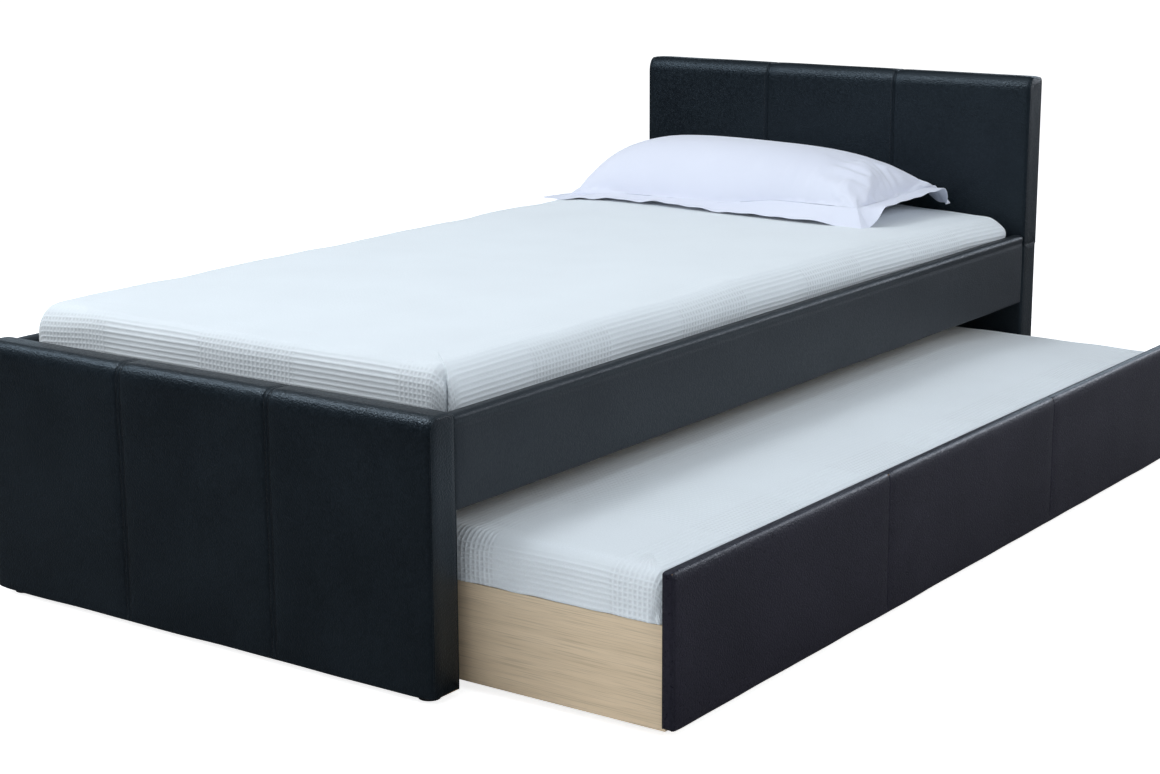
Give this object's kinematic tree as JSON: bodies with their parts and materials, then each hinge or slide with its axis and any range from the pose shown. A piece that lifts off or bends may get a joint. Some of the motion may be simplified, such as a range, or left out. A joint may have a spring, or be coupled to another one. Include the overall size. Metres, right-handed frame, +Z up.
{
  "type": "trundle bed",
  "caption": "Leather-upholstered single bed with a mattress and pillow, and a low trundle bed on casters that rolls out from under one side.",
  "frame": {"origin": "on the floor, at the middle of the outline of the bed with its trundle rolled out as stored", "axes": "+Y along the bed towards the headboard, +X towards the side the trundle rolls out of, +Z up"},
  "size_m": [1.3324, 2.065, 0.768],
  "materials": {
    "black_leather": "satin",
    "rail_leather": "satin",
    "front_leather": "satin",
    "foam": "matte",
    "timber": "matte",
    "hardboard": "matte",
    "light_oak": "satin",
    "webbing": "matte",
    "steel": "satin",
    "black_steel": "satin",
    "black_plastic": "matte",
    "grey_rubber": "matte",
    "mattress_ticking": "matte",
    "waffle_cloth": "matte",
    "pillow_cloth": "matte"
  },
  "bodies": {
    "bed_frame": {"headboard_posts": "timber", "headboard_crossrails": "timber", "headboard_sheets": "hardboard", "headboard_foam": "foam", "headboard_upper_cover": "black_leather", "headboard_lower_cover": "black_leather", "footboard_posts": "timber", "footboard_crossrails": "timber", "footboard_sheets": "hardboard", "footboard_foam": "foam", "footboard_cover": "black_leather", "glides": "black_plastic", "right_rail_board": "timber", "right_rail_cover": "rail_leather", "left_rail_board": "timber", "left_rail_cover": "rail_leather", "right_ledger": "timber", "left_ledger": "timber", "ledger_screws": "steel", "main_slats": "timber", "main_slat_tapes": "webbing", "rail_brackets": "steel", "bracket_screws": "steel", "rail_bolts": "black_steel", "post_inserts": "steel"},
    "mattress": {"main_mattress": "mattress_ticking", "main_bedspread": "waffle_cloth"},
    "pillow": {"pillow": "pillow_cloth"},
    "trundle": {"trundle_front_board": "hardboard", "trundle_front_foam": "foam", "trundle_front_cover": "front_leather", "trundle_box_front": "light_oak", "trundle_box_back": "light_oak", "trundle_foot_end": "light_oak", "trundle_head_end": "light_oak", "trundle_corner_blocks": "timber", "trundle_ledgers": "timber", "trundle_slats": "timber", "trundle_slat_tapes": "webbing", "front_panel_screws": "steel", "corner_block_screws": "steel", "trundle_mattress": "mattress_ticking", "trundle_bedspread": "waffle_cloth", "caster_forks": "steel", "caster_axles": "steel", "caster_screws": "steel"},
    "back_foot_wheel": {"back_foot_hub": "black_plastic", "back_foot_tyre": "grey_rubber"},
    "back_head_wheel": {"back_head_hub": "black_plastic", "back_head_tyre": "grey_rubber"},
    "front_foot_wheel": {"front_foot_hub": "black_plastic", "front_foot_tyre": "grey_rubber"},
    "front_head_wheel": {"front_head_hub": "black_plastic", "front_head_tyre": "grey_rubber"}
  },
  "joints": [
    {"name": "trundle_slide", "type": "slide", "parent": "bed_frame", "child": "trundle", "axis": [1, 0, 0], "range_m": [-0.37, 0.62]},
    {"name": "mattress_lift", "type": "slide", "parent": "bed_frame", "child": "mattress", "axis": [0, 0, 1], "range_m": [0, 0.45]},
    {"name": "pillow_lift", "type": "slide", "parent": "mattress", "child": "pillow", "axis": [0, 0, 1], "range_m": [0, 0.35]},
    {"name": "back_foot_wheel_roll", "type": "hinge", "parent": "trundle", "child": "back_foot_wheel", "pos_m": [-0.20775, -0.898, 0.025], "axis": [0, 1, 0], "continuous": true},
    {"name": "back_head_wheel_roll", "type": "hinge", "parent": "trundle", "child": "back_head_wheel", "pos_m": [-0.20775, 0.898, 0.025], "axis": [0, 1, 0], "continuous": true},
    {"name": "front_foot_wheel_roll", "type": "hinge", "parent": "trundle", "child": "front_foot_wheel", "pos_m": [0.60025, -0.898, 0.025], "axis": [0, 1, 0], "continuous": true},
    {"name": "front_head_wheel_roll", "type": "hinge", "parent": "trundle", "child": "front_head_wheel", "pos_m": [0.60025, 0.898, 0.025], "axis": [0, 1, 0], "continuous": true}
  ],
  "couplings": [
    {"joint": "back_foot_wheel_roll", "follows": "trundle_slide", "rad_per_m": 40},
    {"joint": "back_head_wheel_roll", "follows": "trundle_slide", "rad_per_m": 40},
    {"joint": "front_foot_wheel_roll", "follows": "trundle_slide", "rad_per_m": 40},
    {"joint": "front_head_wheel_roll", "follows": "trundle_slide", "rad_per_m": 40}
  ]
}
